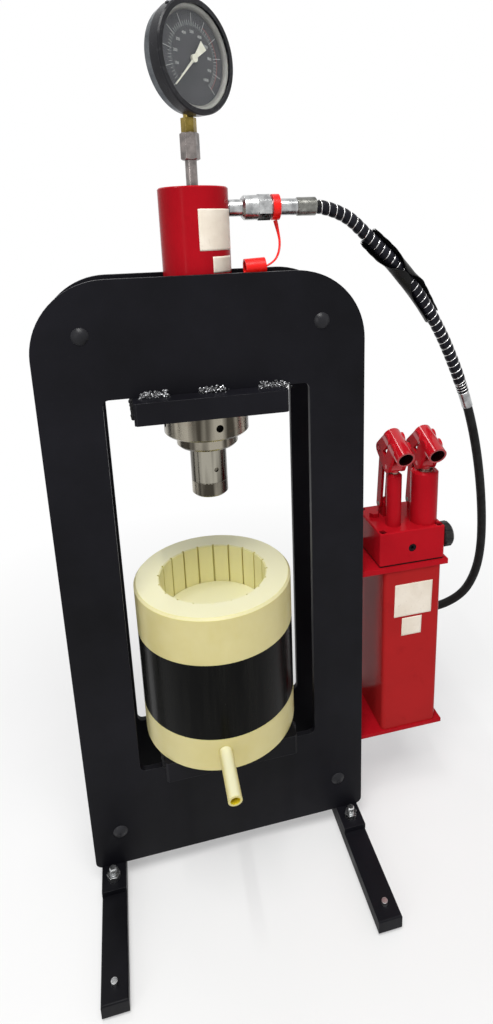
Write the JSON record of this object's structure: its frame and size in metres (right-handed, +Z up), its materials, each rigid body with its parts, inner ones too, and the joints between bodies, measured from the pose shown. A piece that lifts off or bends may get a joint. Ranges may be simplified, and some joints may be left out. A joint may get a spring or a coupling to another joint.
{
  "type": "hydraulic oil press",
  "caption": "Upright hand-pumped hydraulic press for seed oil, with a steel plate frame, ram, gauge, hose, two-speed pump and a nylon pressing barrel on a spouted tray.",
  "frame": {"origin": "centre of the underside of the press, on the floor, midway across the frame and the pump", "axes": "+X to the right (pump side), +Y to the back, +Z up"},
  "size_m": [0.6559, 0.426, 1.1495],
  "materials": {
    "frame_black": "semi-gloss",
    "press_red": "gloss",
    "machined_steel": "machined",
    "hard_chrome": "ground",
    "zinc": "zinc plated",
    "black_steel": "blackened",
    "brass": "satin",
    "nylon_cream": "satin",
    "band_black": "gloss",
    "rubber": "matte",
    "seal": "satin",
    "spring_steel": "satin",
    "red_plastic": "gloss",
    "dial_grey": "matte",
    "pointer_ivory": "satin",
    "clear_glass": "clear",
    "gasket_dark": "matte",
    "knob_black": "satin"
  },
  "bodies": {
    "frame": {"front_plate": "frame_black", "rear_plate": "frame_black", "tie_bolts": "black_steel", "tie_spacers": "frame_black", "cylinder_block": "frame_black", "bed_block": "frame_black", "foot_rails": "frame_black", "foot_tabs": "frame_black", "foot_bolts": "zinc", "foot_buffers": "rubber", "cylinder_barrel": "press_red", "gland_nut": "machined_steel", "gland_bush": "machined_steel", "rod_wiper": "seal", "spring_anchor": "machined_steel", "gauge_tube": "zinc", "gauge_adapter": "zinc", "gauge_stub": "brass", "gauge_case": "zinc", "gauge_bezel": "black_steel", "gauge_dial": "dial_grey", "gauge_glass": "clear_glass", "bourdon_tube": "brass", "port_nipple": "zinc", "coupler_body": "zinc", "hose_ferrule": "zinc", "dust_cap": "red_plastic", "cap_strap": "red_plastic", "hose": "rubber", "spring_guard": "spring_steel", "hose_elbow": "zinc", "pump_tank": "press_red", "tank_brackets": "press_red", "tank_gasket": "gasket_dark", "pump_block": "press_red", "block_screws": "black_steel", "block_plugs": "black_steel", "pump_barrels": "press_red", "lug_pins": "machined_steel"},
    "ram": {"ram_rod": "hard_chrome", "ram_nose": "machined_steel", "piston": "machined_steel", "piston_seal": "seal", "return_spring": "spring_steel"},
    "pointer": {"gauge_pointer": "pointer_ivory"},
    "collar": {"coupler_collar": "zinc"},
    "small_plunger_body": {"small_plunger": "machined_steel"},
    "small_socket_body": {"small_socket": "press_red"},
    "small_link_body": {"small_link": "press_red"},
    "large_plunger_body": {"large_plunger": "machined_steel"},
    "large_socket_body": {"large_socket": "press_red"},
    "large_link_body": {"large_link": "press_red"},
    "release": {"release_stem": "zinc", "release_knob": "knob_black"},
    "tray": {"oil_tray": "nylon_cream", "oil_spout": "nylon_cream", "drain_plate": "nylon_cream"},
    "barrel": {"press_barrel": "nylon_cream", "barrel_band": "band_black"},
    "follower": {"follower_disc": "nylon_cream"}
  },
  "joints": [
    {"name": "ram_slide", "type": "slide", "parent": "frame", "child": "ram", "axis": [0, 0, -1], "range_m": [0, 0.18], "deforming": ["return_spring"]},
    {"name": "gauge_needle", "type": "hinge", "parent": "frame", "child": "pointer", "pos_m": [-0.07023, -0.00355, 1.09], "axis": [-0.6157, 0.788, 0], "range_deg": [0, 270]},
    {"name": "collar_spin", "type": "hinge", "parent": "frame", "child": "collar", "pos_m": [-0.003, 0, 0.929], "axis": [1, 0, 0], "continuous": true},
    {"name": "release_turn", "type": "hinge", "parent": "frame", "child": "release", "pos_m": [0.257, -0.025, 0.46], "axis": [1, 0, 0], "range_deg": [0, 360]},
    {"name": "cage_slide", "type": "slide", "parent": "frame", "child": "tray", "axis": [0, -1, 0], "range_m": [0, 0.045]},
    {"name": "barrel_lift", "type": "slide", "parent": "tray", "child": "barrel", "axis": [0, 0, 1], "range_m": [0, 0.115]},
    {"name": "follower_press", "type": "slide", "parent": "tray", "child": "follower", "axis": [0, 0, -1], "range_m": [0, 0.08]},
    {"name": "small_plunger_stroke", "type": "slide", "parent": "frame", "child": "small_plunger_body", "axis": [0, 0, 1], "range_m": [0, 0.018]},
    {"name": "small_socket_tilt", "type": "hinge", "parent": "small_plunger_body", "child": "small_socket_body", "pos_m": [0.186, -0.02, 0.575], "axis": [-1, 0, 0], "range_deg": [0, 34]},
    {"name": "small_link_swing", "type": "hinge", "parent": "frame", "child": "small_link_body", "pos_m": [0.186, 0.015, 0.503], "axis": [-1, 0, 0], "range_deg": [0, 4.6]},
    {"name": "large_plunger_stroke", "type": "slide", "parent": "frame", "child": "large_plunger_body", "axis": [0, 0, 1], "range_m": [0, 0.018]},
    {"name": "large_socket_tilt", "type": "hinge", "parent": "large_plunger_body", "child": "large_socket_body", "pos_m": [0.233, -0.02, 0.575], "axis": [-1, 0, 0], "range_deg": [0, 34]},
    {"name": "large_link_swing", "type": "hinge", "parent": "frame", "child": "large_link_body", "pos_m": [0.233, 0.015, 0.503], "axis": [-1, 0, 0], "range_deg": [0, 4.6]}
  ],
  "couplings": [
    {"joint": "small_socket_tilt", "follows": "small_plunger_stroke", "rad_per_m": 32.7},
    {"joint": "small_link_swing", "follows": "small_plunger_stroke", "rad_per_m": 4.33},
    {"joint": "large_socket_tilt", "follows": "large_plunger_stroke", "rad_per_m": 32.7},
    {"joint": "large_link_swing", "follows": "large_plunger_stroke", "rad_per_m": 4.33}
  ]
}
